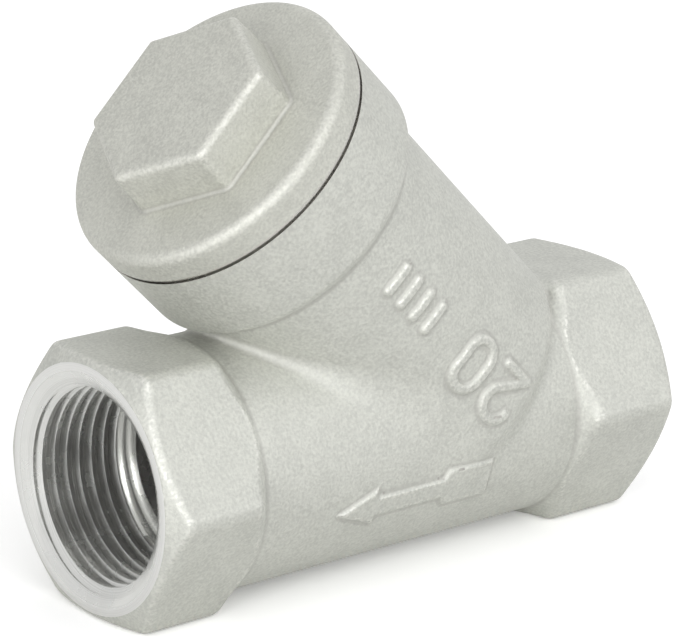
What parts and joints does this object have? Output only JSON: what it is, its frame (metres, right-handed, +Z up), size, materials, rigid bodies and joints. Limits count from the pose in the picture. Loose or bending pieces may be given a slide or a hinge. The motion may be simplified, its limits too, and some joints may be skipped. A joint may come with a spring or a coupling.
{
  "type": "y strainer",
  "caption": "Small screwed Y strainer: cast body with female pipe threads at both ends and an angled branch whose screwed cap holds a cylindrical screen",
  "frame": {"origin": "on the resting plane, under the middle of the run and on its centre line", "axes": "+X along the run from the outlet to the inlet, so liquid flows towards -X; +Z up, away from the flats the body rests on; the branch leans towards -X in the XZ plane"},
  "size_m": [0.08, 0.0382, 0.0703],
  "materials": {
    "cast_steel_body": "matte blasted casting",
    "cast_steel_cap": "matte blasted casting",
    "ptfe": "matte",
    "perforated_sheet": "rolled sheet",
    "wire_cloth": "woven wire",
    "ring_sheet": "rolled sheet"
  },
  "bodies": {
    "housing": {"body": "cast_steel_body"},
    "screen": {"screen_support": "perforated_sheet", "screen_mesh": "wire_cloth", "screen_lower_ring": "ring_sheet", "screen_upper_ring": "ring_sheet"},
    "gasket": {"cap_gasket": "ptfe"},
    "bonnet": {"cap": "cast_steel_cap"}
  },
  "joints": [
    {"name": "screen_draw", "type": "slide", "parent": "housing", "child": "screen", "axis": [-0.7071, 0, 0.7071], "range_m": [0, 0.055]},
    {"name": "cap_rise", "type": "slide", "parent": "screen", "child": "gasket", "axis": [-0.7071, 0, 0.7071], "range_m": [0, 0.0091]},
    {"name": "cap_turn", "type": "hinge", "parent": "gasket", "child": "bonnet", "pos_m": [0.0184, 0, 0.016], "axis": [-0.7071, 0, 0.7071], "range_deg": [0, 2160]}
  ],
  "couplings": [
    {"joint": "cap_rise", "follows": "cap_turn", "m_per_rad": 0.00023873}
  ]
}
